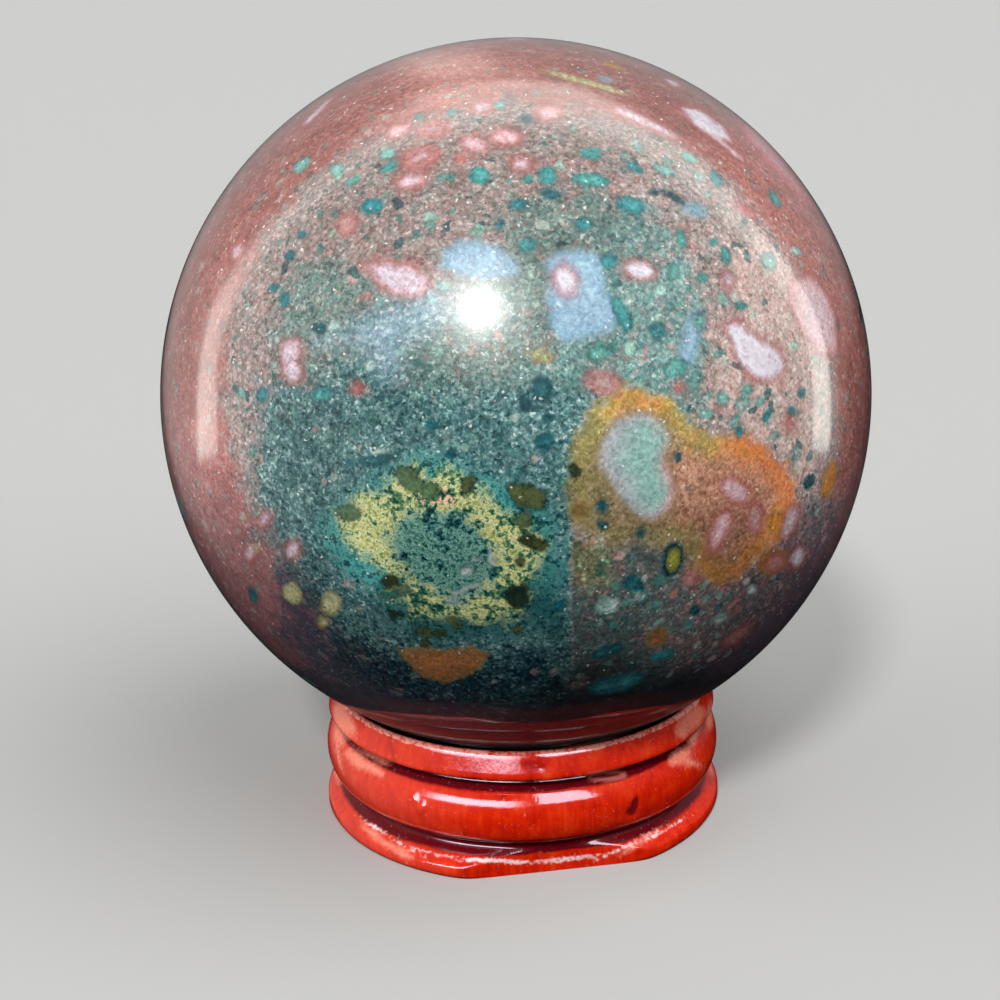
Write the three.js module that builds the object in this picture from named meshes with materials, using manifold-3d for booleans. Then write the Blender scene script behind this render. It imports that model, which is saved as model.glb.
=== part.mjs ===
// A polished jasper sphere resting in a turned, red-lacquered wooden ring stand.
// Millimetres, +Z up. The origin is on the surface that the stand rests on, under the sphere's
// centre, and -Y is the front. Two loose pieces: the sphere lies in the stand's dished seat and
// lifts off.
import * as THREE from "three";
import { mergeVertices } from "three/addons/utils/BufferGeometryUtils.js";
import Module from "manifold-3d";

// Sphere
const SPHERE_R = 32.5;
const SPHERE_CENTRE_Z = 40;
const SPHERE_TURN_SEGMENTS = 72;
const SPHERE_RISE_SEGMENTS = 36;

// Seat: a cone that touches the sphere on a ring of this radius. The solids keep the gap there.
const SEAT_CONTACT_R = 14.2;
const SEAT_GAP = 0.15;

// Stand, from the table upwards: flange, groove, half-round bead, groove, band and rim
const STAND_SEGMENTS = 72;
const HOLE_R = 11.5;
const FLANGE_R = 19.3;
const FLANGE_EDGE_Z = 1;
const FLANGE_TOP_Z = 2.4;
const LOWER_GROOVE_R = 17.2;
const BEAD_BOTTOM_Z = 3.1;
const BEAD_TOP_Z = 8.9;
const BEAD_R = 19.1;
const UPPER_GROOVE_R = 17.2;
const BAND_BOTTOM_Z = 10.1;
const BAND_BOTTOM_R = 18.8;
const BAND_TOP_R = 18.1;
const RIM_TOP_Z = 12.4;
const RIM_INNER_R = 17.5;

// Turned edges are rounded to this radius. The angles are those of the surfaces' outward
// normals above the horizontal, where the rounds run into the flange's top and the band's side.
const EDGE_ROUND = 0.3;
const ROUND_STEP_DEG = 30;
const FLANGE_NORMAL_DEG = 55;
const BAND_NORMAL_DEG = 17;
const BEAD_SWEEP_DEG = 75;
const BEAD_STEP_DEG = 15;

// The turner's blank was short of wood at the front right, so the flange has a flat there.
const FLAT_DISTANCE = 17.25;
const FLAT_AZIMUTH_DEG = -80.5;
const CUTTER_DEPTH = 10;
const CUTTER_LENGTH = 60;
const CUTTER_BOTTOM_Z = -2;

const MERGE_TOLERANCE = 1e-4;

const wasm = await Module();
wasm.setup();

// Leaves only the positions, each of them once, as a closed solid needs.
function mergePositions(geometry) {
  geometry.deleteAttribute("normal");
  geometry.deleteAttribute("uv");
  return mergeVertices(geometry, MERGE_TOLERANCE);
}

// Lathes and spheres are made about Y; this stands them up about Z.
function standUp(geometry) {
  geometry.rotateX(Math.PI / 2);
  return mergePositions(geometry);
}

function toManifold(geometry) {
  const mesh = new wasm.Mesh({
    numProp: 3,
    vertProperties: geometry.attributes.position.array,
    triVerts: new Uint32Array(geometry.index.array),
  });
  return new wasm.Manifold(mesh);
}

function fromManifold(solid) {
  const mesh = solid.getMesh();
  const geometry = new THREE.BufferGeometry();
  geometry.setAttribute("position", new THREE.BufferAttribute(mesh.vertProperties, 3));
  geometry.setIndex(new THREE.BufferAttribute(mesh.triVerts, 1));
  return geometry;
}

// Points on an ellipse's arc about (r, z), from one angle to another, both ends included.
function arc(r, z, radiusR, radiusZ, fromDeg, toDeg, stepDeg) {
  const steps = Math.ceil((toDeg - fromDeg) / stepDeg);
  return Array.from({ length: steps + 1 }, (_, i) => {
    const angle = THREE.MathUtils.degToRad(fromDeg + ((toDeg - fromDeg) * i) / steps);
    return new THREE.Vector2(r + radiusR * Math.cos(angle), z + radiusZ * Math.sin(angle));
  });
}

// A rounded edge whose outermost point is at radius r and whose middle height is z.
function roundedEdge(r, z, fromDeg, toDeg) {
  return arc(r - EDGE_ROUND, z, EDGE_ROUND, EDGE_ROUND, fromDeg, toDeg, ROUND_STEP_DEG);
}

// Height of the seat's cone at radius r: tangent to the sphere at the contact ring, less the gap.
function seatHeight(r) {
  const contactDepth = Math.sqrt(SPHERE_R ** 2 - SEAT_CONTACT_R ** 2);
  const slope = SEAT_CONTACT_R / contactDepth;
  return SPHERE_CENTRE_Z - contactDepth - SEAT_GAP + (r - SEAT_CONTACT_R) * slope;
}

// Half-section of the stand, anticlockwise from the hole's lower edge: outside upwards, over the
// rim, down the seat's cone and down the hole.
function standProfile() {
  const beadMiddleZ = (BEAD_BOTTOM_Z + BEAD_TOP_Z) / 2;
  const beadRadiusR = BEAD_R - LOWER_GROOVE_R;
  const beadRadiusZ = (BEAD_TOP_Z - BEAD_BOTTOM_Z) / 2;
  return [
    new THREE.Vector2(HOLE_R, 0),
    new THREE.Vector2(FLANGE_R - EDGE_ROUND, 0),
    ...roundedEdge(FLANGE_R, EDGE_ROUND, -BEAD_SWEEP_DEG / 2, 0),
    ...roundedEdge(FLANGE_R, FLANGE_EDGE_Z, 0, FLANGE_NORMAL_DEG),
    new THREE.Vector2(LOWER_GROOVE_R + EDGE_ROUND, FLANGE_TOP_Z),
    new THREE.Vector2(LOWER_GROOVE_R, (FLANGE_TOP_Z + BEAD_BOTTOM_Z) / 2),
    ...arc(
      LOWER_GROOVE_R,
      beadMiddleZ,
      beadRadiusR,
      beadRadiusZ,
      -BEAD_SWEEP_DEG,
      BEAD_SWEEP_DEG,
      BEAD_STEP_DEG,
    ),
    new THREE.Vector2(UPPER_GROOVE_R, BEAD_TOP_Z + EDGE_ROUND),
    new THREE.Vector2(UPPER_GROOVE_R + EDGE_ROUND, BAND_BOTTOM_Z - EDGE_ROUND),
    ...roundedEdge(BAND_BOTTOM_R, BAND_BOTTOM_Z, -BEAD_SWEEP_DEG, BAND_NORMAL_DEG),
    ...roundedEdge(BAND_TOP_R, RIM_TOP_Z - EDGE_ROUND, BAND_NORMAL_DEG, BEAD_SWEEP_DEG),
    new THREE.Vector2(RIM_INNER_R, seatHeight(RIM_INNER_R)),
    new THREE.Vector2(SEAT_CONTACT_R, seatHeight(SEAT_CONTACT_R)),
    new THREE.Vector2(HOLE_R, seatHeight(HOLE_R)),
    new THREE.Vector2(HOLE_R, 0),
  ];
}

// The block that cuts the flange's flat. Its top is level with the flange's, under the bead.
function flatCutter() {
  const height = FLANGE_TOP_Z - CUTTER_BOTTOM_Z;
  const block = new THREE.BoxGeometry(CUTTER_DEPTH, CUTTER_LENGTH, height);
  block.translate(FLAT_DISTANCE + CUTTER_DEPTH / 2, 0, CUTTER_BOTTOM_Z + height / 2);
  block.rotateZ(THREE.MathUtils.degToRad(FLAT_AZIMUTH_DEG));
  return toManifold(mergePositions(block));
}

function makeStand() {
  const turned = toManifold(standUp(new THREE.LatheGeometry(standProfile(), STAND_SEGMENTS)));
  const stand = new THREE.Mesh(
    fromManifold(turned.subtract(flatCutter())),
    new THREE.MeshStandardMaterial({ color: 0xc3301c, roughness: 0.25, metalness: 0 }),
  );
  stand.name = "ring_stand";
  return stand;
}

function makeSphere() {
  const ball = new THREE.SphereGeometry(SPHERE_R, SPHERE_TURN_SEGMENTS, SPHERE_RISE_SEGMENTS);
  const sphere = new THREE.Mesh(
    standUp(ball),
    new THREE.MeshStandardMaterial({ color: 0x7c6a66, roughness: 0.12, metalness: 0 }),
  );
  sphere.name = "jasper_sphere";
  sphere.position.set(0, 0, SPHERE_CENTRE_Z);
  return sphere;
}

const part = new THREE.Group();
part.add(makeStand(), makeSphere());

export default part;
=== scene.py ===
import math

import bpy
import numpy as np
from mathutils import Matrix, Vector


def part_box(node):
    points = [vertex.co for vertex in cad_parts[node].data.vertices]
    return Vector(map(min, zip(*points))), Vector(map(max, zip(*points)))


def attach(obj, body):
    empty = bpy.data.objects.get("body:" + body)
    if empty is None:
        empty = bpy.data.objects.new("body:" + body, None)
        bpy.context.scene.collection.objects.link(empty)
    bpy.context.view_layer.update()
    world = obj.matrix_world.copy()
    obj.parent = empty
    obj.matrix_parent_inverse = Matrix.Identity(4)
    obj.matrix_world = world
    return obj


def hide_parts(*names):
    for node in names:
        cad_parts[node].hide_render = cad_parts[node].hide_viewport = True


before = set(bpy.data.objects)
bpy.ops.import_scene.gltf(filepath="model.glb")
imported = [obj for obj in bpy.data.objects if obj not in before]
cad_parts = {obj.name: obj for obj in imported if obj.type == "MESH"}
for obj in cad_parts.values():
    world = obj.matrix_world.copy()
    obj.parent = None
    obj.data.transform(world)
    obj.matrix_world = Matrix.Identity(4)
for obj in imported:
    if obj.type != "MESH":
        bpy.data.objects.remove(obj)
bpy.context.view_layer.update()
print("frame loaded:", sorted(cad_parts))

mm = 0.001  # settings are in millimetres, meshes in metres
sphereLow, sphereHigh = (np.array(corner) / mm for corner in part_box("jasper_sphere"))
standHigh = np.array(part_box("ring_stand")[1]) / mm
sphereRadius = (sphereHigh[2] - sphereLow[2]) / 2
sphereCentre = np.array([0, 0, (sphereHigh[2] + sphereLow[2]) / 2])


# Shader maths

class Wire:
    # a socket that can stand in a sum: each operator adds one Math node
    def __init__(self, shader, socket):
        self.shader = shader
        self.socket = socket

    def maths(self, operation, *values):
        return self.shader.node("ShaderNodeMath", {"operation": operation}, dict(enumerate(values)))

    def __add__(self, other):
        return self.maths("ADD", self, other)

    def __radd__(self, other):
        return self.maths("ADD", other, self)

    def __sub__(self, other):
        return self.maths("SUBTRACT", self, other)

    def __rsub__(self, other):
        return self.maths("SUBTRACT", other, self)

    def __mul__(self, other):
        return self.maths("MULTIPLY", self, other)

    def __rmul__(self, other):
        return self.maths("MULTIPLY", other, self)

    def step(self, start, end):
        # 0 at start, 1 at end, smooth in between; start may be the larger
        settings = {"interpolation_type": "SMOOTHSTEP"}
        if start < end:
            return self.shader.node("ShaderNodeMapRange", settings, {0: self, 1: start, 2: end})
        return 1 - self.shader.node("ShaderNodeMapRange", settings, {0: self, 1: end, 2: start})


class Shader:
    # the nodes that feed a material's Principled BSDF, or a world's Background
    def __init__(self, owner, surface="Principled BSDF", place="Object"):
        owner.use_nodes = True
        self.owner = owner
        self.tree = owner.node_tree
        self.surface = self.tree.nodes[surface]
        self.place = self.node("ShaderNodeTexCoord", {}, {}, place)

    def node(self, kind, settings, sockets, output=0):
        made = self.tree.nodes.new(kind)
        for name, value in settings.items():
            if name == "stops":
                ramp = made.color_ramp.elements
                while len(ramp) < len(value):
                    ramp.new(0.5)
                for stop, (position, shade) in zip(ramp, value):
                    stop.position = position
                    stop.color = (*shade, 1)
            else:
                setattr(made, name, value)
        for name, value in sockets.items():
            if isinstance(value, Wire):
                self.tree.links.new(value.socket, made.inputs[name])
            else:
                made.inputs[name].default_value = value
        return Wire(self, made.outputs[output])

    def feed(self, **sockets):
        # constants and links of the surface node, by socket name with _ for a space
        for name, value in sockets.items():
            target = self.surface.inputs[name.replace("_", " ")]
            if isinstance(value, Wire):
                self.tree.links.new(value.socket, target)
            else:
                target.default_value = value

    def attribute(self, name):
        return self.node("ShaderNodeAttribute", {"attribute_name": name}, {}, "Fac")

    def vector(self, operation, *values, output=0, **sockets):
        sockets.update(enumerate(values))
        return self.node("ShaderNodeVectorMath", {"operation": operation}, sockets, output)

    def moved(self, x, y, z):
        # the object's coordinates, moved by millimetres, so that two patterns of one size differ
        return self.vector("ADD", self.place, (x * mm, y * mm, z * mm))

    def bent(self, size, amount, place):
        # the object's coordinates, pushed about by noise of one size by up to half the amount
        push = self.vector("SUBTRACT", self.noise(size, detail=1, place=place, output=1), (0.5, 0.5, 0.5))
        return self.vector("ADD", self.place, self.vector("SCALE", push, Scale=amount * mm))

    def noise(self, size, detail=2.0, roughness=0.5, place=None, output=0):
        # soft lumps about size millimetres across
        sockets = {"Vector": place or self.place, "Scale": 1 / (size * mm)}
        sockets.update({"Detail": detail, "Roughness": roughness})
        return self.node("ShaderNodeTexNoise", {}, sockets, output)

    def cells(self, size, place):
        # cells about size millimetres apart: the distance to a cell's point, and three random
        # numbers from 0 to 1 that a whole cell shares
        sockets = {"Vector": place, "Scale": 1 / (size * mm)}
        distance = self.node("ShaderNodeTexVoronoi", {}, sockets, "Distance")
        shared = Wire(self, distance.socket.node.outputs["Color"])
        split = self.node("ShaderNodeSeparateColor", {}, {0: shared}).socket.node
        return distance, *(Wire(self, split.outputs[i]) for i in range(3))

    def mix(self, amount, first, second, blend="MIX"):
        settings = {"data_type": "RGBA", "blend_type": blend}
        return self.node("ShaderNodeMix", settings, {0: amount, 6: colour(first), 7: colour(second)}, 2)

    def ramp(self, value, *stops):
        settings = {"stops": [(at, linear(shade)) for at, shade in stops]}
        return self.node("ShaderNodeValToRGB", settings, {0: value})

    def bump(self, height, distance, strength=1.0):
        sockets = {"Height": height, "Distance": distance * mm, "Strength": strength}
        return self.node("ShaderNodeBump", {}, sockets)


def linear(shade):
    # screen values from 0 to 255 to linear light
    value = np.array(shade) / 255
    value = np.where(value < 0.04045, value / 12.92, ((value + 0.055) / 1.055) ** 2.4)
    return tuple(value.tolist())


def colour(shade):
    return shade if isinstance(shade, Wire) else (*linear(shade), 1)


# Camera: level with the photograph's, so that a place in the picture finds its place on the stone

cameraSettings = {
    "lens": 65.0,
    "sensor": 36.0,
    "side": 1000,
    "pitchDown": 18.0,
    "roll": 1.3,
    "place": (-1.64, -162.81, 82.91),
}

pitch = math.radians(cameraSettings["pitchDown"])
roll = math.radians(cameraSettings["roll"])
levelUp = np.array([0, math.sin(pitch), math.cos(pitch)])
lookForward = np.array([0, math.cos(pitch), -math.sin(pitch)])
lookRight = np.array([math.cos(roll), 0, 0]) - math.sin(roll) * levelUp
lookUp = np.array([math.sin(roll), 0, 0]) + math.cos(roll) * levelUp
eye = np.array(cameraSettings["place"])
focalPixels = cameraSettings["lens"] / cameraSettings["sensor"] * cameraSettings["side"]
middle = cameraSettings["side"] / 2
towardsEye = (eye - sphereCentre) / np.linalg.norm(eye - sphereCentre)


def makeCamera():
    data = bpy.data.cameras.new("camera")
    data.lens = cameraSettings["lens"]
    data.sensor_width = cameraSettings["sensor"]
    data.clip_start = 0.01
    data.clip_end = 30
    camera = bpy.data.objects.new("camera", data)
    bpy.context.scene.collection.objects.link(camera)
    turn = Matrix(np.column_stack([lookRight, lookUp, -lookForward]).tolist())
    camera.matrix_world = Matrix.Translation(Vector(eye * mm)) @ turn.to_4x4()
    bpy.context.scene.camera = camera


def lineOfSight(x, y):
    # unit vectors through picture places: forward, plus the offset from the middle over the focal length
    x, y = np.atleast_1d(x).astype(float), np.atleast_1d(y).astype(float)
    sideways = np.outer(x - middle, lookRight / focalPixels)
    ray = lookForward + sideways - np.outer(y - middle, lookUp / focalPixels)
    return ray / np.linalg.norm(ray, axis=1, keepdims=True)


def inPicture(points):
    # picture places of points: the middle, plus the focal length times sideways over depth
    offset = points - eye
    depth = offset @ lookForward
    return middle + offset @ lookRight / depth * focalPixels, middle - offset @ lookUp / depth * focalPixels


def onSphere(x, y):
    # where a line of sight first meets the sphere, as unit vectors from its centre
    ray = lineOfSight(x, y)
    toCentre = sphereCentre - eye
    along = ray @ toCentre
    halfChord = np.sqrt(np.maximum(sphereRadius**2 - (toCentre @ toCentre - along**2), 0))
    point = eye + ray * (along - halfChord)[:, None] - sphereCentre
    return point / np.linalg.norm(point, axis=1, keepdims=True)


# Meshes

def makePiece(name, vertices, faces):
    mesh = bpy.data.meshes.new(name)
    mesh.from_pydata((vertices * mm).tolist(), [], faces)
    piece = bpy.data.objects.new(name, mesh)
    bpy.context.scene.collection.objects.link(piece)
    return piece


def quadsOf(index):
    # the faces of a grid of vertex numbers, as lists of four
    corners = [index[:-1, :-1], index[:-1, 1:], index[1:, 1:], index[1:, :-1]]
    return np.stack(corners, axis=-1).reshape(-1, 4).tolist()


def gridMesh(name, points, caps):
    # a mesh from a grid of points whose rows are closed rings. caps are two points that close the
    # first and the last row, or None where the last row is the first one again.
    rows, columns = points.shape[:2]
    index = np.arange(rows * columns).reshape(rows, columns)
    if caps is None:
        index = np.concatenate([index, index[:1]])
    index = np.concatenate([index, index[:, :1]], axis=1)
    vertices = points.reshape(-1, 3)
    faces = quadsOf(index)
    if caps is not None:
        vertices = np.concatenate([vertices, caps])
        low, high = rows * columns, rows * columns + 1
        faces += np.stack([index[0, 1:], index[0, :-1], np.full(columns, low)], axis=-1).tolist()
        faces += np.stack([index[-1, :-1], index[-1, 1:], np.full(columns, high)], axis=-1).tolist()
    made = makePiece(name, vertices, faces)
    made.data.polygons.foreach_set("use_smooth", np.ones(len(faces), bool))
    made.data.update()
    return made, vertices


def giveAttribute(piece, name, values):
    attribute = piece.data.attributes.new(name, "FLOAT", "POINT")
    attribute.data.foreach_set("value", np.ascontiguousarray(values, np.float32))


def smoothStep(value, start, end):
    share = np.clip((value - start) / (end - start), 0, 1)
    return share * share * (3 - 2 * share)


# Markings of the stone: x and y are the place in the picture; long and wide are millimetres as the
# camera sees them; turn is in degrees, anticlockwise; tone picks a colour on the kind's ramp, 0 to 1.

def mark(x, y, long, wide, turn=0, tone=0.5):
    return {"x": x, "y": y, "long": long, "wide": wide, "turn": turn, "tone": tone}


markings = {
    "green": [
        mark(480, 176, 1.6, 1.5, tone=0.54), mark(420, 116, 0.9, 0.6, tone=0.35),
        mark(422, 125, 0.9, 0.5, tone=0.85), mark(452, 112, 0.7, 0.6, tone=0.66),
        mark(500, 105, 1.0, 0.8, turn=20, tone=0.76), mark(527, 119, 1.0, 0.7, tone=0.2),
        mark(387, 154, 1.2, 0.9, turn=30, tone=0.82), mark(353, 180, 1.5, 0.8, turn=20, tone=0.64),
        mark(639, 147, 0.7, 0.6, tone=0.84), mark(452, 177, 0.6, 0.6, tone=0.62),
        mark(548, 175, 1.5, 1.6, tone=0.5), mark(590, 180, 2.9, 1.1, turn=-4, tone=0.52),
        mark(591, 153, 1.9, 1.1, tone=0.55), mark(373, 206, 1.9, 1.3, turn=5, tone=0.38),
        mark(631, 205, 2.4, 1.3, turn=-12, tone=0.4), mark(550, 194, 1.6, 0.7, turn=-8, tone=0.22),
        mark(519, 205, 1.3, 0.9, tone=0.33), mark(528, 179, 0.9, 0.6, turn=15, tone=0.6),
        mark(500, 224, 0.8, 0.8, tone=0.25), mark(528, 245, 1.5, 1.1, tone=0.5),
        mark(584, 224, 1.4, 0.9, tone=0.4), mark(336, 170, 1.2, 1.3, turn=30, tone=0.7),
        mark(302, 165, 1.8, 1.1, turn=40, tone=0.75), mark(391, 166, 1.7, 0.8, turn=25, tone=0.55),
        mark(634, 167, 1.5, 0.8, turn=-25, tone=0.45), mark(690, 158, 1.4, 0.8, turn=-20, tone=0.75),
        mark(666, 171, 2.0, 0.7, turn=-20, tone=0.85), mark(655, 191, 0.9, 0.7, tone=0.12),
        mark(672, 196, 2.4, 0.5, turn=-27, tone=0.1), mark(716, 178, 1.0, 1.5, turn=15, tone=0.4),
        mark(681, 238, 0.8, 1.6, turn=5, tone=0.6), mark(726, 255, 0.9, 1.4, turn=12, tone=0.57),
        mark(714, 242, 0.8, 0.7, tone=0.62), mark(769, 262, 1.5, 1.6, tone=0.86),
        mark(796, 252, 1.2, 0.9, tone=0.93), mark(674, 271, 0.9, 1.2, tone=0.68),
        mark(703, 278, 1.0, 0.7, tone=0.6), mark(740, 306, 1.1, 0.7, turn=-15, tone=0.55),
        mark(675, 368, 2.0, 1.5, turn=20, tone=0.66), mark(599, 354, 1.8, 1.2, turn=15, tone=0.7),
        mark(657, 331, 1.3, 1.3, turn=20, tone=0.36), mark(622, 314, 1.1, 3.0, turn=24, tone=0.5),
        mark(609, 262, 1.3, 1.1, turn=15, tone=0.4), mark(322, 394, 1.7, 1.0, turn=8, tone=0.48),
        mark(262, 395, 0.9, 1.2, turn=-10, tone=0.34), mark(241, 393, 0.6, 0.9, tone=0.85),
        mark(542, 389, 1.7, 1.9, turn=5, tone=0.14), mark(525, 403, 1.0, 1.4, turn=30, tone=0.08),
        mark(548, 418, 1.0, 0.7, turn=-20, tone=0.15), mark(545, 443, 1.3, 1.6, turn=-20, tone=0.2),
        mark(431, 425, 1.1, 0.9, tone=0.3), mark(348, 463, 0.75, 0.65, tone=0.42),
        mark(376, 460, 3.2, 0.9, turn=6, tone=0.14), mark(452, 454, 0.9, 0.8, tone=0.15),
        mark(314, 453, 0.5, 0.8, turn=-20, tone=0.05), mark(302, 235, 0.8, 0.8, tone=0.3),
        mark(290, 255, 1.0, 0.9, tone=0.25), mark(285, 300, 0.9, 1.4, turn=20, tone=0.3),
        mark(321, 329, 0.9, 0.9, tone=0.15), mark(274, 288, 1.2, 0.6, tone=0.35),
        mark(559, 606, 1.0, 0.9, tone=0.22), mark(633, 584, 1.9, 1.3, turn=-20, tone=0.2),
        mark(608, 651, 2.9, 1.0, turn=18, tone=0.12), mark(662, 656, 2.0, 0.9, turn=15, tone=0.4),
        mark(617, 684, 4.6, 1.5, turn=12, tone=0.24), mark(602, 507, 0.9, 0.85, tone=0.25),
        mark(603, 525, 0.9, 0.6, turn=-20, tone=0.18), mark(640, 534, 0.75, 0.8, tone=0.12),
        mark(678, 458, 0.55, 0.8, tone=0.2), mark(688, 488, 0.5, 0.5, tone=0.2),
        mark(809, 482, 1.3, 1.0, turn=60, tone=0.16), mark(767, 415, 0.8, 1.4, turn=-25, tone=0.4),
        mark(792, 412, 0.9, 1.0, turn=-25, tone=0.42), mark(802, 393, 0.8, 0.8, tone=0.4),
        mark(747, 390, 0.9, 0.9, tone=0.75), mark(796, 454, 0.9, 1.2, tone=0.93),
        mark(739, 432, 0.7, 0.8, tone=0.4), mark(775, 199, 0.9, 1.7, turn=25, tone=0.6),
        mark(253, 595, 0.9, 1.5, turn=15, tone=0.18), mark(837, 325, 0.6, 1.0, tone=0.1),
        mark(607, 606, 2.1, 1.4, turn=15, tone=0.9), mark(695, 610, 0.9, 0.8, tone=0.12),
        mark(672, 560, 1.7, 2.8, turn=-10, tone=0.1), mark(742, 404, 1.5, 1.1, turn=20, tone=0.9),
        mark(722, 398, 1.2, 0.9, turn=-30, tone=0.86), mark(706, 414, 1.2, 0.8, turn=10, tone=0.84),
        mark(760, 402, 1.0, 0.8, tone=0.87), mark(735, 420, 1.0, 0.7, turn=30, tone=0.9),
        mark(690, 386, 0.9, 0.7, tone=0.8), mark(775, 436, 0.9, 0.8, tone=0.88),
        mark(700, 322, 0.9, 1.3, turn=-20, tone=0.8), mark(640, 596, 1.3, 0.9, turn=-10, tone=0.93),
        mark(720, 618, 1.3, 0.9, turn=20, tone=0.93), mark(752, 590, 1.0, 0.8, tone=0.93),
        mark(452, 600, 1.1, 0.7, turn=15, tone=0.9), mark(492, 559, 0.4, 1.5, turn=8, tone=0.96),
        mark(467, 572, 1.1, 0.6, turn=15, tone=1.0), mark(476, 559, 0.8, 0.4, turn=15, tone=0.98),
        mark(472, 586, 1.5, 0.3, turn=12, tone=1.0), mark(460, 594, 1.0, 0.3, turn=-20, tone=0.98),
    ],
    "pale": [
        mark(639, 270, 2.2, 1.2, turn=-8, tone=0.05), mark(566, 281, 1.7, 2.1, turn=12, tone=0.08),
        mark(291, 352, 1.5, 1.9, turn=-8, tone=0.24), mark(292, 370, 1.3, 1.6, turn=12, tone=0.22),
        mark(735, 491, 2.6, 1.4, turn=-32, tone=0.38), mark(720, 531, 1.1, 3.1, turn=-22, tone=0.4),
        mark(755, 518, 1.1, 2.0, turn=10, tone=0.62), mark(790, 522, 1.2, 2.6, turn=-18, tone=0.3),
        mark(776, 563, 1.6, 1.1, turn=15, tone=0.72), mark(798, 557, 1.1, 1.6, turn=-15, tone=0.04),
        mark(691, 578, 1.0, 0.9, tone=0.7), mark(398, 131, 1.7, 1.0, turn=20, tone=0.35),
        mark(434, 129, 2.5, 1.3, turn=5, tone=0.78), mark(420, 157, 2.7, 1.7, turn=15, tone=0.82),
        mark(411, 181, 2.0, 0.9, turn=8, tone=0.3), mark(347, 224, 1.2, 1.2, tone=0.66),
        mark(549, 113, 1.6, 1.1, tone=0.42), mark(474, 144, 1.7, 1.1, turn=-20, tone=0.34),
        mark(462, 159, 0.5, 0.6, tone=1.0), mark(482, 107, 1.2, 0.7, tone=0.12),
        mark(505, 137, 2.2, 1.1, tone=0.42), mark(521, 164, 1.2, 0.9, tone=0.24),
        mark(237, 251, 0.8, 1.3, turn=-30, tone=0.3), mark(673, 83, 1.1, 0.6, turn=-30, tone=0.05),
        mark(645, 122, 5.2, 0.6, turn=-24, tone=0.12), mark(716, 138, 5.0, 0.25, turn=-38, tone=0.0),
        mark(318, 111, 0.5, 3.2, turn=-38, tone=0.12), mark(737, 636, 2.1, 0.8, turn=32, tone=0.74),
        mark(602, 383, 2.2, 1.5, turn=-15, tone=0.62), mark(358, 389, 0.6, 0.5, tone=0.98),
        mark(678, 387, 0.6, 0.55, tone=0.98), mark(788, 423, 0.5, 0.6, tone=0.98),
        mark(250, 552, 0.7, 1.1, turn=-20, tone=0.2), mark(265, 519, 0.6, 1.2, turn=-35, tone=0.2),
        mark(292, 550, 0.8, 1.3, turn=-35, tone=0.12), mark(868, 470, 0.9, 3.4, turn=-8, tone=0.5),
        mark(745, 210, 1.5, 0.4, turn=-25, tone=0.95), mark(729, 280, 0.7, 0.9, tone=0.2),
    ],
    "blue": [
        mark(690, 340, 1.4, 4.6, turn=-14, tone=0.75), mark(695, 209, 2.2, 1.2, turn=-10, tone=0.1),
        mark(605, 79, 1.0, 0.6, tone=0.1),
    ],
    "orange": [
        mark(773, 562, 2.9, 2.1, turn=20, tone=0.24), mark(778, 523, 1.7, 2.0, turn=-15, tone=0.6),
        mark(829, 480, 1.3, 3.2, turn=-14, tone=0.6), mark(657, 638, 2.0, 1.6, turn=30, tone=0.2),
        mark(292, 593, 1.8, 1.6, turn=-20, tone=0.92), mark(331, 603, 1.6, 1.9, turn=-10, tone=0.95),
        mark(323, 622, 0.8, 0.9, tone=0.95), mark(540, 356, 1.9, 0.8, turn=-20, tone=0.95),
        mark(613, 66, 2.0, 0.7, turn=-18, tone=0.4), mark(580, 509, 1.4, 1.3, tone=0.06),
        mark(705, 435, 1.0, 0.6, turn=-15, tone=0.8), mark(671, 417, 0.9, 0.7, turn=-30, tone=0.75),
        mark(256, 549, 0.5, 0.8, turn=-20, tone=0.95), mark(586, 82, 6.8, 0.5, turn=-17, tone=1.0),
    ],
    "eye": [
        mark(409, 480, 2.6, 1.3, turn=-42, tone=0.6), mark(430, 491, 1.45, 1.3, tone=0.62),
        mark(468, 484, 0.9, 1.6, turn=-25, tone=0.36), mark(533, 543, 2.4, 0.95, turn=-22, tone=0.2),
        mark(523, 521, 1.3, 1.0, tone=0.55), mark(521, 562, 1.0, 0.9, turn=-30, tone=0.34),
        mark(390, 582, 1.4, 1.1, turn=-5, tone=0.14), mark(396, 592, 2.6, 0.8, turn=14, tone=0.95),
        mark(454, 621, 1.6, 0.85, turn=-32, tone=0.36), mark(425, 632, 1.6, 0.8, tone=0.3),
        mark(441, 633, 1.2, 0.6, turn=10, tone=0.2), mark(396, 614, 1.1, 0.7, tone=0.05),
        mark(348, 513, 2.2, 1.1, turn=-4, tone=0.62), mark(425, 643, 1.0, 0.6, tone=0.3),
        mark(518, 629, 0.9, 0.7, tone=0.35), mark(673, 560, 1.1, 2.1, turn=-10, tone=0.78),
        mark(574, 470, 0.8, 1.2, turn=35, tone=0.1),
    ],
}

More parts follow.
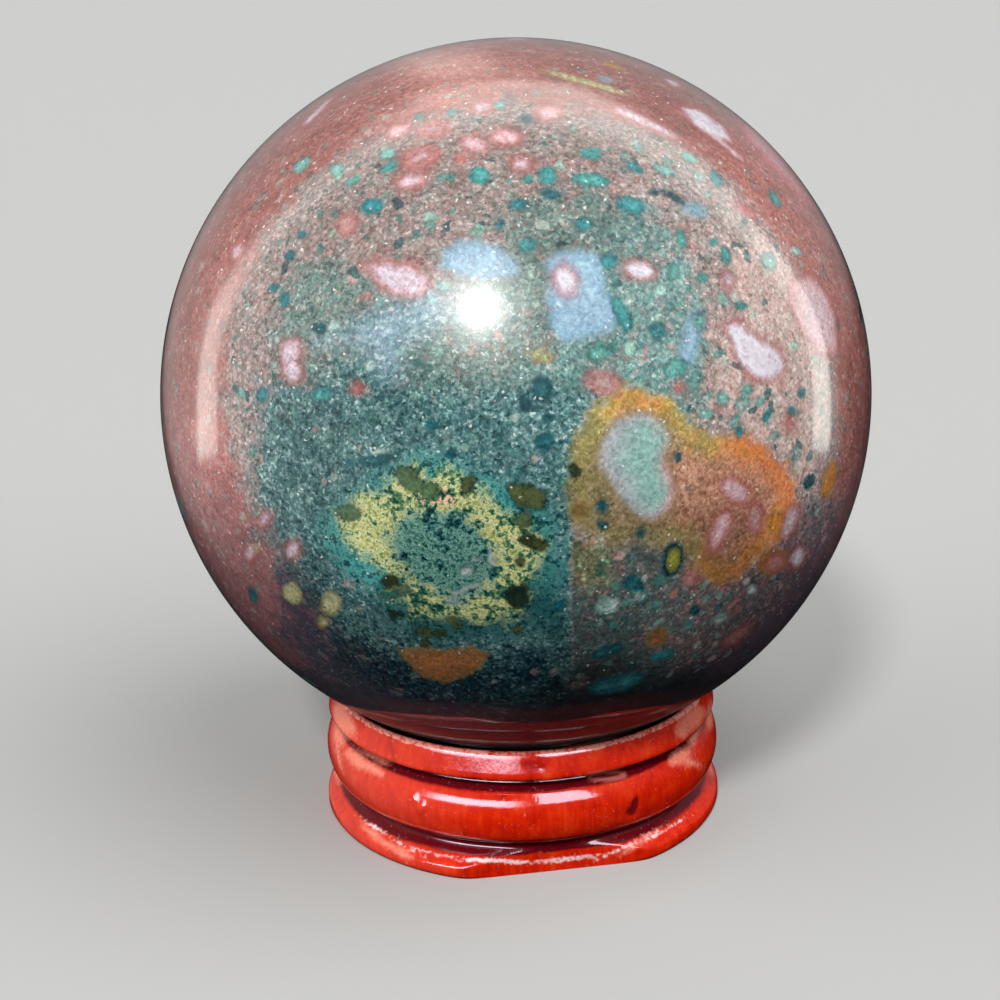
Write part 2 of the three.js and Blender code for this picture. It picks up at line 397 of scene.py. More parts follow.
# Larger markings have outlines of their own, as places in the picture.
outlines = [
    {"kind": "pale", "tone": 0.22, "corners": [
        (366, 266), (384, 264), (410, 267), (426, 276), (428, 288), (414, 296), (396, 294), (380, 284)]},
    {"kind": "pale", "tone": 0.03, "corners": [
        (726, 326), (736, 323), (750, 333), (764, 343), (780, 352), (784, 368), (774, 379), (756, 378),
        (738, 360)]},
    {"kind": "pale", "tone": 0.42, "corners": [
        (790, 282), (810, 276), (826, 294), (836, 322), (837, 352), (820, 354), (804, 332), (794, 310)]},
    {"kind": "pale", "tone": 0.05, "corners": [
        (682, 108), (700, 110), (722, 126), (731, 141), (714, 137), (695, 125)]},
    {"kind": "pale", "tone": 0.93, "corners": [
        (736, 117), (756, 130), (788, 166), (818, 212), (804, 204), (776, 172), (748, 143)]},
    {"kind": "blue", "tone": 0.55, "corners": [
        (439, 268), (443, 252), (458, 242), (477, 240), (497, 247), (515, 262), (518, 274), (480, 280)]},
    {"kind": "blue", "tone": 0.75, "corners": [
        (546, 262), (560, 252), (580, 250), (598, 255), (604, 272), (606, 290), (616, 304), (622, 322),
        (606, 334), (588, 338), (562, 344), (552, 326), (547, 300), (550, 280)]},
    {"kind": "orange", "tone": 0.22, "corners": [
        (397, 650), (418, 648), (443, 650), (472, 648), (489, 654), (476, 671), (447, 683), (420, 674)]},
    {"kind": "eye", "tone": 0.45, "corners": [
        (506, 484), (530, 485), (545, 494), (543, 508), (520, 507), (511, 496)]},
    {"kind": "eye", "tone": 0.0, "corners": [
        (502, 596), (509, 587), (527, 584), (528, 606), (514, 608)]},
]

nestOutlines = {
    "nestFringe": [
        (316, 513), (318, 535), (331, 560), (351, 584), (378, 600), (392, 621), (414, 643), (443, 648),
        (484, 643), (520, 633), (567, 633), (568, 594), (565, 564), (563, 535), (557, 511), (541, 494),
        (514, 478), (484, 470), (453, 455), (414, 453), (392, 458), (371, 472), (351, 492), (331, 502)],
    "nestRing": [
        (333, 512), (337, 529), (347, 547), (371, 566), (400, 578), (398, 600), (410, 617), (431, 622),
        (455, 624), (484, 622), (514, 621), (528, 607), (531, 586), (542, 564), (548, 543), (533, 519),
        (514, 514), (492, 500), (476, 482), (463, 472), (447, 464), (431, 472), (414, 466), (396, 468),
        (382, 484), (359, 498)],
    "nestCore": [
        (414, 511), (443, 507), (463, 515), (484, 531), (496, 549), (497, 574), (488, 592), (463, 604),
        (439, 597), (414, 584), (400, 564), (388, 543), (392, 523)],
}

patchOutlines = {
    "salmon": [
        (416, 498), (432, 495), (440, 492), (450, 490), (456, 498), (450, 507), (440, 505), (424, 507)],
    "mint": [
        (634, 430), (650, 428), (660, 440), (656, 460), (662, 478), (668, 496), (656, 512), (646, 500),
        (640, 480), (628, 464), (632, 446)],
    "pink": [
        (668, 452), (680, 470), (684, 494), (678, 514), (658, 530), (650, 520), (666, 508), (670, 490),
        (664, 472)],
    "patch": [
        (604, 404), (619, 391), (640, 391), (660, 398), (676, 411), (696, 429), (712, 439), (740, 438),
        (753, 443), (771, 457), (787, 473), (794, 486), (792, 503), (780, 524), (774, 537), (762, 549),
        (749, 565), (738, 576), (724, 582), (708, 579), (696, 566), (678, 543), (660, 546), (640, 543),
        (619, 543), (603, 539), (587, 531), (572, 520), (569, 495), (571, 470), (574, 450), (580, 429),
        (590, 413)],
    "cell": [
        (598, 462), (601, 440), (617, 420), (633, 413), (650, 414), (664, 425), (669, 440), (665, 458),
        (671, 472), (676, 488), (672, 508), (656, 522), (640, 517), (624, 502), (609, 483)],
    # the blue haze beside the glint, a painted reflection in part
    "haze": [
        (318, 344), (345, 328), (384, 306), (424, 292), (452, 288), (452, 318), (426, 334), (406, 350),
        (398, 374), (382, 380), (372, 356), (340, 346)],
}

# Tones that drift over the patch, the nest and the whole ground, as spots in the picture: x, y and tone.
# tint colours the brown part: olive at 0, teal at 0.55, maroon at 1. depth says where the ground is
# darker (under 0.5) or lighter: painted light and shade in part, the stone's own tone in part.
toneSpots = {
    "patchTone": [
        (578, 430, 0.1), (600, 408, 0.3), (626, 396, 0.55), (648, 402, 0.6), (680, 420, 0.3),
        (706, 436, 0.4), (738, 444, 0.8), (770, 462, 0.9), (790, 490, 0.85), (775, 530, 0.7),
        (742, 572, 0.68), (706, 574, 0.62), (682, 548, 0.3), (625, 545, 0.05), (575, 500, 0.1),
        (700, 500, 0.85), (630, 530, 0.3), (590, 460, 0.15)],
    "patchRim": [
        (578, 430, 0.7), (622, 396, 0.9), (660, 405, 0.9), (706, 436, 0.7), (738, 444, 0.9),
        (785, 480, 0.82), (775, 530, 0.8), (742, 572, 0.8), (706, 574, 0.85), (680, 546, 0.4),
        (640, 545, 0.15), (600, 540, 0.25), (573, 500, 0.6), (640, 470, 0.4)],
    "nestTone": [
        (355, 520, 0.9), (385, 560, 0.85), (400, 480, 0.2), (445, 472, 0.0), (480, 500, 0.5),
        (505, 535, 0.6), (530, 530, 0.2), (520, 590, 0.1), (470, 612, 0.4), (425, 612, 0.0),
        (400, 600, 0.2), (445, 550, 0.5)],
    "fringeTone": [
        (325, 515, 0.1), (337, 548, 0.1), (358, 576, 0.2), (376, 600, 0.7), (400, 640, 0.8),
        (470, 645, 0.9), (540, 625, 0.85), (560, 560, 0.6), (555, 500, 0.4), (480, 462, 0.3),
        (390, 465, 0.25), (350, 480, 0.2)],
    "tint": [
        (590, 565, 0.0), (602, 584, 0.12), (640, 568, 0.5), (620, 602, 0.55), (585, 612, 0.5),
        (600, 640, 0.6), (592, 672, 0.6), (640, 640, 0.68), (680, 612, 0.78), (720, 600, 0.92),
        (760, 600, 1.0), (705, 655, 1.0), (640, 680, 0.7)],
    "depth": [
        (470, 80, 0.5), (520, 72, 0.42), (570, 85, 0.38), (650, 105, 0.38), (350, 140, 0.4),
        (520, 140, 0.42), (400, 200, 0.4), (340, 240, 0.42), (590, 210, 0.4), (640, 190, 0.5),
        (740, 240, 0.56), (300, 290, 0.46), (420, 310, 0.46), (684, 310, 0.62), (674, 380, 0.64),
        (600, 390, 0.6), (750, 400, 0.6), (720, 470, 0.64), (810, 420, 0.57), (806, 505, 0.74),
        (720, 550, 0.38), (626, 532, 0.4), (322, 460, 0.42), (276, 520, 0.42), (366, 430, 0.45),
        (366, 560, 0.58), (372, 632, 0.4), (420, 555, 0.46), (602, 570, 0.66), (610, 600, 0.5),
        (600, 640, 0.4), (680, 615, 0.62), (600, 670, 0.2), (700, 655, 0.55), (700, 690, 0.3),
        (770, 600, 0.5), (560, 480, 0.5), (500, 650, 0.5), (236, 350, 0.5), (205, 470, 0.67),
        (250, 500, 0.56), (322, 585, 0.36), (470, 430, 0.5)],
}

# The ground's zones, as places in the picture; soft is half the width of their edges in millimetres.
# Those with a crack have a sharp edge along it, beside the nest.
zoneSettings = {
    "green": {"soft": 2.6, "corners": [
        (500, 204), (524, 192), (570, 188), (640, 204), (672, 240), (704, 300), (712, 360), (702, 404),
        (640, 400), (600, 410), (575, 440), (560, 470), (480, 440), (420, 400), (340, 380), (300, 390),
        (268, 370), (272, 310), (300, 262), (336, 258), (380, 292), (440, 306), (500, 262)]},
    "brick": {"soft": 2.0, "outside": True, "corners": [
        (335, 660), (318, 610), (296, 572), (262, 535), (242, 490), (228, 440), (222, 380), (232, 310),
        (262, 240), (310, 180), (370, 138), (440, 112), (520, 104), (600, 112), (670, 136), (730, 180),
        (780, 240), (812, 300), (832, 360), (838, 430), (828, 500), (806, 560), (775, 610), (735, 655),
        (690, 690), (620, 720), (520, 735), (420, 715)]},
    "sea": {"soft": 2.4, "corners": [
        (606, 208), (650, 214), (682, 250), (704, 310), (708, 390), (690, 420), (640, 404), (600, 404),
        (560, 424), (516, 404), (528, 352), (596, 344), (620, 320), (608, 262)]},
    "rose": {"soft": 2.4, "corners": [
        (726, 250), (764, 236), (800, 286), (816, 350), (822, 430), (806, 470), (776, 448), (744, 428),
        (716, 408), (708, 370), (720, 344), (736, 320)]},
    "teal": {"soft": 3.2, "crack": True, "corners": [
        (268, 386), (258, 430), (252, 480), (262, 530), (290, 576), (310, 610), (340, 640), (372, 660),
        (400, 680), (430, 706), (500, 716), (600, 712), (592, 706), (574, 676), (571, 600), (572, 540),
        (572, 470), (578, 420), (600, 392), (585, 380), (540, 382), (470, 386), (420, 372), (372, 356),
        (336, 364), (304, 378)]},
    "brown": {"soft": 2.6, "crack": True, "corners": [
        (572, 540), (600, 545), (640, 548), (680, 556), (700, 582), (740, 584), (770, 548), (800, 506),
        (846, 500), (820, 590), (770, 650), (716, 690), (660, 706), (604, 712), (574, 680), (571, 610)]},
    # the dark bottom: the stone's dark colour in part, painted shade in part
    "deep": {"soft": 3.6, "corners": [
        (286, 560), (310, 590), (340, 622), (384, 644), (430, 650), (490, 648), (540, 644), (580, 668),
        (640, 688), (700, 680), (764, 640), (818, 584), (856, 540), (866, 600), (700, 740), (500, 752),
        (350, 715), (280, 640)]},
}

# The crack, in picture pixels: its place, how wide it counts, where it starts and ends, how fast it
# fades, and the sharpness of an edge on it in millimetres.
crackSettings = {"x": 570, "half": 8, "top": 430, "bottom": 650, "steep": 1.5, "fade": 80, "soft": 0.4}

inventedSettings = {
    "seed": 57,
    "nestShares": {"nestFringe": 1.0, "nestRing": 0.8, "nestCore": 0.42},
    "seenUpTo": 0.30,  # what faces the camera more than this has the markings of the picture
    "counts": {"green": 230, "pale": 76, "blue": 12, "orange": 26, "eye": 16},
    "long": {"green": (0.8, 2.6), "pale": (1.0, 4.4), "blue": (2.6, 6.4), "orange": (1.0, 3.4),
             "eye": (1.0, 2.6)},
    "nests": [((0.55, 0.72, -0.2), 15.0), ((-0.62, 0.45, 0.5), 10.0)],
    "patches": [((-0.85, 0.2, -0.35), 11.0), ((0.2, 0.8, 0.62), 13.0)],
    "hazes": [((0.9, 0.1, 0.45), 8.0), ((-0.3, 0.95, -0.1), 9.0)],
}


# Edge distances are kept up to a reach in millimetres: markReach for clasts, laid as far as haloReach
# round each, and zoneReach for outlines. Tones give way to each other over toneReach picture pixels.
markReach, haloReach, zoneReach, toneReach = 3.0, 2.5, 20.0, 12


def ellipseEdge(across, up, long, wide):
    # near the signed distance to an ellipse: q (q - 1) over the length of q's slope, with q the
    # length of the place over the half sizes
    a, b = long / 2, wide / 2
    q = np.hypot(across / a, up / b) + 1e-4
    slope = np.hypot(across / a**2, up / b**2) + 1e-4 / b
    return q * (q - 1) / slope


def outlineEdge(across, up, corners):
    # signed distance to a closed outline: how far the nearest side is, and negative where a line to
    # the right crosses an odd number of sides
    nearest = np.full(len(across), 1e9)
    inside = np.zeros(len(across), bool)
    for start, end in zip(corners, np.roll(corners, -1, axis=0)):
        side = end - start
        share = np.clip(((across - start[0]) * side[0] + (up - start[1]) * side[1]) / (side @ side), 0, 1)
        away = np.hypot(across - start[0] - share * side[0], up - start[1] - share * side[1])
        nearest = np.minimum(nearest, away)
        spans = (start[1] > up) != (end[1] > up)
        rise = side[1] if side[1] else 1e-9
        inside ^= spans & (across < start[0] + (up - start[1]) / rise * side[0])
    return np.where(inside, -nearest, nearest)


def pictureOutline(points, corners, reach):
    # the edge distance of a picture outline over the stone's points, and reach where it is far away
    corners = np.array(corners, float)
    rim = onSphere(corners[:, 0], corners[:, 1]) * sphereRadius
    flat = np.column_stack([rim @ lookRight, rim @ lookUp])
    facing = points @ towardsEye > 0.05 * sphereRadius
    edge = np.full(len(points), reach)
    edge[facing] = outlineEdge(points[facing] @ lookRight, points[facing] @ lookUp, flat)
    return np.minimum(edge, reach)


def spotTones(x, y, spots):
    # the spots' tones, weighted by 1 / (distance^2 + reach^2)^2 in picture pixels
    spotX, spotY, tone = np.array(spots, float).T
    weight = 1 / (np.subtract.outer(x, spotX) ** 2 + np.subtract.outer(y, spotY) ** 2 + toneReach**2) ** 2
    return (weight * tone).sum(axis=1) / weight.sum(axis=1)


def layMark(points, edges, tones, centre, across, up, long, wide, turn, tone):
    # lays one ellipse over a kind's edge distances and tones, where it is nearer than what is there
    turn = math.radians(turn)
    along = math.cos(turn) * across + math.sin(turn) * up
    aside = math.cos(turn) * up - math.sin(turn) * across
    offset = points - centre * sphereRadius
    near = np.flatnonzero(np.linalg.norm(offset, axis=1) < max(long, wide) / 2 + haloReach)
    edge = ellipseEdge(offset[near] @ along, offset[near] @ aside, long, wide)
    closer = edge < edges[near]
    edges[near[closer]] = edge[closer]
    tones[near[closer]] = tone


def layOval(points, edges, direction, long, wide, shift=0.0):
    # lays one oval over edge distances, about a direction from the stone's centre
    centre = np.array(direction) / np.linalg.norm(direction)
    across = np.cross((0, 0, 1), centre)
    across /= np.linalg.norm(across)
    near = points @ centre > 0.2 * sphereRadius
    oval = ellipseEdge(points[near] @ across - shift, points[near] @ np.cross(centre, across), long, wide)
    edges[near] = np.minimum(edges[near], oval)


def markStone(piece, points):
    # gives the stone's mesh its markings, as distances to the edges of each kind and tones
    draw = np.random.default_rng(inventedSettings["seed"])
    facing = points @ towardsEye / sphereRadius
    for kind, marks in markings.items():
        edges, tones = np.full(len(points), markReach), np.full(len(points), 0.5)
        for one in marks:
            centre = onSphere(one["x"], one["y"])[0]
            shape = {name: one[name] for name in ("long", "wide", "turn", "tone")}
            layMark(points, edges, tones, centre, lookRight, lookUp, **shape)
        for outline in outlines:
            if outline["kind"] == kind:
                edge = pictureOutline(points, outline["corners"], markReach)
                tones[edge < edges] = outline["tone"]
                edges = np.minimum(edges, edge)
        made = 0
        while made < inventedSettings["counts"][kind]:
            centre = draw.normal(size=3)
            centre /= np.linalg.norm(centre)
            across = np.cross(centre, draw.normal(size=3))
            across /= np.linalg.norm(across)
            low, high = inventedSettings["long"][kind]
            long = low + (high - low) * draw.random() ** 1.6
            wide = long * draw.uniform(0.45, 0.9)
            tone = draw.random()
            if centre @ towardsEye < inventedSettings["seenUpTo"]:
                layMark(points, edges, tones, centre, across, np.cross(centre, across), long, wide, 0, tone)
                made += 1
        giveAttribute(piece, kind + "Edge", edges)
        giveAttribute(piece, kind + "Tone", tones)

    # the nest, the patch and the haze: the picture's, and others round the back
    for name, corners in nestOutlines.items():
        edges = pictureOutline(points, corners, zoneReach)
        share = inventedSettings["nestShares"][name]
        for direction, size in inventedSettings["nests"]:
            layOval(points, edges, direction, size * share, size * share * 0.75)
        giveAttribute(piece, name + "Edge", edges)
    for name, corners in patchOutlines.items():
        edges = pictureOutline(points, corners, zoneReach)
        for direction, size in inventedSettings["hazes" if name == "haze" else "patches"]:
            if name in ("cell", "mint"):
                layOval(points, edges, direction, size * 0.3, size * 0.42, shift=-size * 0.2)
            elif name in ("patch", "haze"):
                layOval(points, edges, direction, size, size * 0.6)
        giveAttribute(piece, name + "Edge", edges)
    x, y = inPicture(points + sphereCentre)
    for name, spots in toneSpots.items():
        giveAttribute(piece, name, spotTones(x, y, spots))

    # the ground's zones: the picture's in front, and slow waves over the rest
    unit = points / sphereRadius
    seen = smoothStep(facing, 0.1, 0.4)
    for name, zone in zoneSettings.items():
        edge = pictureOutline(points, zone["corners"], zoneReach)
        soft = zone["soft"]
        if zone.get("crack"):
            c = crackSettings
            beyond = c["steep"] * np.maximum(c["top"] - y, y - c["bottom"])
            away = np.maximum(abs(x - c["x"]) - c["half"], beyond)
            soft = c["soft"] + (soft - c["soft"]) * smoothStep(away, 0, c["fade"])
        weight = smoothStep(-edge / soft, -1, 1)
        if zone.get("outside"):
            weight = 1 - weight
        waves, phases = draw.normal(size=(6, 3)) * 2.4, draw.uniform(0, 2 * math.pi, 6)
        slow = np.sin(unit @ waves.T + phases).sum(axis=1) / 6
        behind = smoothStep(slow, -0.15, 0.25) if name == "brick" else smoothStep(slow, 0.1, 0.4)
        weight = weight * seen + behind * (1 - seen)
        # the dark bottom also darkens all round towards the camera's bottom, as painted shade
        if name == "deep":
            weight = np.maximum(weight * 0.85 * seen, smoothStep(unit @ lookUp, -0.6, -0.86))
        giveAttribute(piece, name + "Zone", weight)


sphereSettings = {
    "around": 440,
    "upwards": 218,
    "crowdAround": 0.4,
    "crowdUpwards": 0.3,
    "crowdLatitude": 12.0,
}


def makeSphere():
    # a point is the centre plus the radius times (cos longitude cos latitude, sin longitude cos
    # latitude, sin latitude). The rows and columns crowd towards the front: an even angle a becomes
    # a - crowd sin(a - front).
    t = sphereSettings
    longitude = np.arange(t["around"]) * 2 * math.pi / t["around"]
    longitude = longitude - t["crowdAround"] * np.sin(longitude + math.pi / 2)
    latitude = (np.arange(1, t["upwards"]) / t["upwards"] - 0.5) * math.pi
    twice = 2 * math.radians(t["crowdLatitude"])
    latitude = latitude - t["crowdUpwards"] / 2 * (np.sin(2 * latitude - twice) - math.sin(twice))
    around, upwards = np.meshgrid(longitude, latitude)
    level = np.cos(upwards)
    unit = np.stack([np.cos(around) * level, np.sin(around) * level, np.sin(upwards)], axis=-1)
    poles = sphereCentre + np.array([[0, 0, -sphereRadius], [0, 0, sphereRadius]])
    sphere, vertices = gridMesh("jasperSphere", sphereCentre + unit * sphereRadius, poles)
    markStone(sphere, vertices - sphereCentre)
    return sphere


def jasperMaterial():
    s = Shader(bpy.data.materials.new("polished jasper"))

    # grains: random numbers a cell, and noise in four sizes
    sand = s.cells(0.25, s.bent(0.5, 0.5, s.place))
    fine = s.noise(0.34, detail=3, roughness=0.7, place=s.moved(1, 6, 2))
    fleck = s.noise(0.7, detail=3, roughness=0.65, place=s.moved(3, 5, 1))
    blotch = s.noise(2.6, detail=3, roughness=0.6)
    teal = s.attribute("tealZone")
    keep = 1 - s.attribute("deepZone")

    # how light a grain is on its zone's ramp, 0.5 on average, and how far it strays from its zone
    clump = s.noise(1.4, place=s.moved(9, 0, 0))
    light = sand[1] * 0.55 + fine * 1.4 + fleck * 0.6 + blotch * 0.4 - 0.975
    stray = (clump - 0.5) * 1.2 + (blotch - 0.5) * 2.0 + (sand[2] - 0.5) * 0.1

    # edges wander by two sizes of noise, and grain by grain
    wander = (clump - 0.5) * 1.4 + (fleck - 0.5) * 0.7 + (sand[2] - 0.5) * 0.12

    # the zones' shades, from the darkest grain to the lightest
    stops = (0.0, 0.3, 0.55, 0.8, 1.0)
    zones = {
        "green": ((44, 64, 60), (84, 107, 101), (104, 127, 120), (132, 152, 144), (190, 202, 194)),
        "brick": ((104, 48, 40), (138, 72, 63), (157, 92, 83), (178, 116, 107), (206, 162, 152)),
        "sea": ((38, 70, 72), (76, 110, 108), (95, 132, 128), (126, 158, 150), (190, 208, 202)),
        "rose": ((118, 98, 92), (166, 140, 132), (184, 157, 149), (202, 178, 170), (230, 216, 210)),
        "teal": ((14, 48, 52), (48, 88, 90), (74, 114, 114), (108, 144, 141), (180, 204, 198)),
        "brown": ((36, 40, 40), (68, 69, 69), (85, 87, 86), (108, 110, 108), (158, 160, 156)),
        # the dark bottom: dark stone in part, painted shade in part
        "deep": ((2, 12, 22), (8, 30, 42), (15, 48, 58), (36, 70, 76), (100, 120, 124)),
    }
    shade = s.ramp(light, (0.0, (78, 72, 68)), (0.25, (120, 106, 101)), (0.5, (142, 125, 120)),
                   (0.75, (166, 147, 142)), (1.0, (204, 192, 186)))
    # the brick-red parts flow in streaks
    flow = s.noise(1.4, detail=3, roughness=0.6, place=s.vector("MULTIPLY", s.place, (0.28, 1, 0.8)))
    lights = {
        "brick": light * 0.6 + flow * 0.9 - 0.25,
        "teal": light * 1.1 - 0.05,
        "brown": light * 0.7 + 0.15,
        "sea": light * 0.9 + 0.05,
    }
    for zone, shades in zones.items():
        weight = (s.attribute(zone + "Zone") * 1.3 + stray * 0.8 - 0.15).step(0.1, 0.9)
        shade = s.mix(weight, shade, s.ramp(lights.get(zone, light), *zip(stops, shades)))

    # the brick-red parts turn to lavender downwards
    split = s.node("ShaderNodeSeparateXYZ", {}, {0: s.vector("SCALE", s.place, Scale=1 / mm)}).socket.node
    height = Wire(s, split.outputs[2])
    shade = s.mix(s.attribute("brickZone") * height.step(50, 24) * 0.36, shade, (112, 98, 116))

    # islands of other colours in the ground: two of each noise, where it is high and where it is low
    warm = (1 - teal) * keep
    cool = (1 - s.attribute("brickZone") * 0.7) * keep
    rose = s.attribute("roseZone")
    islands = [
        (1.7, {"level": 0.54, "cover": warm * 0.3, "shade": (164, 98, 92)},
         {"level": 0.55, "cover": cool * 0.3, "shade": (80, 120, 112)}),
        (0.65, {"level": 0.54, "cover": cool * 0.45, "shade": (66, 98, 92)},
         {"level": 0.57, "cover": warm * 0.3, "shade": (150, 92, 84)}),
        (0.82, {"level": 0.58, "cover": cool * 0.4, "shade": (142, 172, 158)},
         {"level": 0.56, "cover": warm * 0.35, "shade": (188, 148, 144)}),
        (0.55, {"level": 0.6, "cover": keep * 0.3, "shade": (192, 194, 186)},
         {"level": 0.6, "cover": rose * 0.45, "shade": (160, 106, 90)}),
        (1.1, {"level": 0.56, "cover": rose * 0.5, "shade": (136, 166, 150)},
         {"level": 0.58, "cover": rose * 0.35, "shade": (160, 106, 90)}),
    ]
    for i, (size, high, low) in enumerate(islands):
        field = s.noise(size, detail=2, roughness=0.6, place=s.moved(7 + i * 3, i * 5, 3 - i * 2))
        for part, look in ((field, high), (1 - field, low)):
            amount = part.step(look["level"], look["level"] + 0.15) * look["cover"]
            shade = s.mix(amount, shade, s.mix(0.5, look["shade"], light, "OVERLAY"))

    # small clasts all over the ground, of any size up to half a cell, with a dark edge
    outsideNest = (s.attribute("nestFringeEdge") + 0.5).step(0, 1)
    pebble = s.cells(1.25, s.bent(1.6, 1.4, s.moved(0, 7, 0)))
    pebbleEdge = pebble[0] + pebble[3] * 0.28 + (fleck - 0.5) * 0.5
    pebbles = pebbleEdge.step(0.5, 0.4) * pebble[1].step(0.5, 0.52) * outsideNest * (cool * 0.7 + 0.15)
    pebbleTone = pebble[2] + (fleck - 0.5) * 0.3
    pebbleShade = s.ramp(pebbleTone, (0.0, (26, 66, 74)), (0.25, (46, 100, 98)), (0.5, (92, 140, 128)),
                         (0.72, (146, 184, 168)), (0.86, (190, 170, 164)), (1.0, (156, 104, 94)))
    rimmed = s.mix(pebbleEdge.step(0.28, 0.44) * 0.4, pebbleShade, (60, 72, 68))
    shade = s.mix(pebbles, shade, s.mix(0.45, rimmed, light, "OVERLAY"))

    # thin bent threads, light and dark, in short lengths: where a noise passes through a level
    thread = s.noise(1.0, detail=2, roughness=0.6, place=s.bent(0.6, 0.6, s.moved(2, 8, 4)))
    pale = (thread - 0.52).maths("ABSOLUTE").step(0.02, 0.005) * fleck.step(0.5, 0.56)
    dark = (thread - 0.44).maths("ABSOLUTE").step(0.024, 0.008) * fleck.step(0.5, 0.44)
    shade = s.mix(pale * keep * 0.5, shade, (222, 226, 220))
    shade = s.mix(dark * cool * 0.5, shade, (36, 52, 52))

    # blue haze beside the glint: blue stone in part, a painted reflection of a window in part
    hazeShade = s.ramp(light, (0.0, (104, 136, 152)), (0.5, (146, 178, 196)), (1.0, (204, 220, 230)))
    shade = s.mix((s.attribute("hazeEdge") + wander * 1.1).step(1.6, -2.6) * 0.72, shade, hazeShade)

    # the patch: rosy brown and olive, with a rim from olive to orange that fades inwards
    patchTone = s.attribute("patchTone") + (fleck - 0.5) * 0.6 + (blotch - 0.5) * 0.4
    patchEdge = s.attribute("patchEdge") + wander * 1.5 + (sand[3] - 0.5) * 0.3
    smooth = light * 0.75 + 0.13
    rosy = ((92, 60, 42), (138, 92, 68), (170, 118, 92), (196, 148, 120), (230, 206, 192))
    olive = ((76, 70, 40), (116, 106, 66), (146, 130, 88), (174, 160, 122), (218, 216, 198))
    rosy, olive = (s.ramp(smooth, *zip(stops, shades)) for shades in (rosy, olive))
    rimShade = s.ramp(patchTone, (0.0, (112, 110, 62)), (0.25, (150, 140, 60)), (0.45, (178, 142, 58)),
                      (0.65, (188, 128, 54)), (0.85, (206, 116, 50)), (1.0, (196, 92, 50)))
    shade = s.mix(patchEdge.step(0.6, -0.9) * 0.85, shade, s.mix(patchTone.step(0.1, 0.7), olive, rosy))
    rim = patchEdge.step(-2.4, -0.5) * patchEdge.step(0.8, -0.3) * s.attribute("patchRim")
    shade = s.mix(rim * 0.85, shade, s.mix(0.35, rimShade, light, "OVERLAY"))

    # the nest: cyan fringe, a ring of yellow cement round green pores, dark teal core. Cement is where
    # a noise is near its middle, pores are where it is far from it.
    porous = s.noise(0.85, detail=3, roughness=0.6, place=s.bent(0.7, 0.5, s.moved(0, 0, 5)))
    loose = wander * 1.7 + (porous - 0.5) * 2
    nestTone = s.attribute("nestTone") + (blotch - 0.5) * 0.7
    vein = porous + (fine - 0.5) * 0.8 + (fleck - 0.5) * 0.3 + (sand[1] - 0.5) * 0.12
    fringeShade = s.ramp(vein, (0.3, (14, 58, 66)), (0.44, (38, 106, 110)), (0.52, (86, 170, 158)),
                         (0.58, (56, 138, 134)), (0.7, (26, 92, 96)))
    # the fringe goes dark towards the bottom by its tone spots: dark stone in part, painted shade in part
    fringeShade = s.mix(s.attribute("fringeTone").step(0.2, 1.0) * 0.8, fringeShade, (12, 50, 56))
    ringVein = vein + nestTone * 0.2 - 0.1
    ringShade = s.ramp(ringVein, (0.26, (16, 62, 56)), (0.38, (66, 112, 82)), (0.46, (138, 158, 96)),
                       (0.51, (192, 192, 126)), (0.54, (230, 224, 180)), (0.59, (186, 184, 112)),
                       (0.68, (152, 160, 92)), (0.8, (104, 130, 80)))
    coreShade = s.ramp(vein, (0.28, (6, 40, 46)), (0.42, (42, 96, 94)), (0.49, (66, 126, 116)),
                       (0.53, (138, 176, 160)), (0.57, (76, 132, 122)), (0.72, (34, 86, 82)))
    shade = s.mix((s.attribute("nestFringeEdge") + loose).step(1.0, -1.6) * 0.95, shade, fringeShade)
    shade = s.mix((s.attribute("nestRingEdge") + loose).step(0.6, -0.9) * 0.95, shade, ringShade)
    shade = s.mix((s.attribute("nestCoreEdge") + loose).step(0.7, -0.8) * 0.95, shade, coreShade)
    salmon = (s.attribute("salmonEdge") + loose * 0.4).step(0.4, -0.4) * vein.step(0.46, 0.52)
    shade = s.mix(salmon, shade, s.ramp(fine, (0.45, (176, 84, 60)), (0.55, (232, 190, 160))))

    # the brown part's tint goes from olive by teal to maroon, then the ground goes darker and lighter by
    # the depth spots: painted light and shade in part, the stone's own tone in part
    tint = s.ramp(s.attribute("tint"), (0.0, (210, 206, 158)), (0.3, (188, 190, 184)),
                  (0.55, (170, 198, 198)), (0.8, (190, 186, 188)), (1.0, (206, 178, 186)))
    shade = s.mix(s.attribute("brownZone"), shade, s.mix(1.0, shade, tint, "OVERLAY"))
    depth = s.attribute("depth") + (blotch - 0.5) * 0.1
    grey = s.ramp(depth, (0.1, (60, 60, 60)), (0.5, (188, 188, 188)), (0.75, (225, 225, 225)))
    shade = s.mix(1.0, shade, grey, "OVERLAY")

